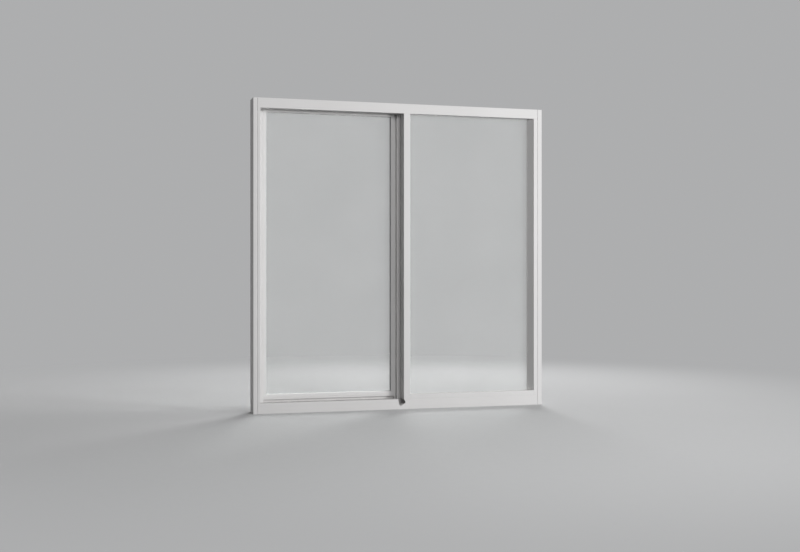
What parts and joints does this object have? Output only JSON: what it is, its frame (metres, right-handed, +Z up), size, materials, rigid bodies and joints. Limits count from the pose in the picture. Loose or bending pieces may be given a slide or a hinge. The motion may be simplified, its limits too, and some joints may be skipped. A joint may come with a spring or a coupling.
{
  "type": "horizontal sliding window",
  "caption": "Horizontal sliding window: a white frame with a fixed double-glazed lite beside a narrower-framed sliding sash that runs on rollers behind it.",
  "frame": {"origin": "under the middle of the window, at the foot of the sill", "axes": "+Z up, +X to the right seen from the front, +Y from the front face to the rear"},
  "size_m": [1.196, 0.08, 1.219],
  "materials": {
    "white_paint": "satin",
    "clear_glass": "clear",
    "gasket_rubber": "matte",
    "spacer_aluminium": "satin",
    "steel": "satin",
    "nylon": "matte",
    "pile_fabric": "matte"
  },
  "bodies": {
    "root": {"left_jamb": "white_paint", "right_jamb": "white_paint", "head": "white_paint", "sill": "white_paint", "meeting_post": "white_paint", "fixed_bottom_rail": "white_paint", "fixed_jamb_adapter": "white_paint", "sash_left_stile": "white_paint", "sash_meeting_stile": "white_paint", "sash_top_rail": "white_paint", "sash_bottom_rail": "white_paint", "sash_bead_left": "white_paint", "sash_bead_right": "white_paint", "sash_bead_top": "white_paint", "sash_bead_bottom": "white_paint", "fixed_outer_pane": "clear_glass", "fixed_inner_pane": "clear_glass", "sash_outer_pane": "clear_glass", "sash_inner_pane": "clear_glass", "fixed_outer_gasket": "gasket_rubber", "fixed_inner_gasket": "gasket_rubber", "sash_outer_gasket": "gasket_rubber", "sash_inner_gasket": "gasket_rubber", "fixed_setting_blocks": "gasket_rubber", "sash_setting_blocks": "gasket_rubber", "fixed_glass_spacer": "spacer_aluminium", "sash_glass_spacer": "spacer_aluminium", "sill_track_cap": "steel", "roller_housings": "steel", "left_jamb_screws": "steel", "right_jamb_screws": "steel", "latch_plate": "steel", "latch_keeper": "steel", "roller_wheels": "nylon", "anti_lift_blocks": "nylon", "jamb_bumpers": "nylon", "latch_slider": "nylon", "head_pile_seals": "pile_fabric", "sill_pile_seals": "pile_fabric", "jamb_pile_seal": "pile_fabric", "post_pile_seal": "pile_fabric"}
  },
  "joints": []
}
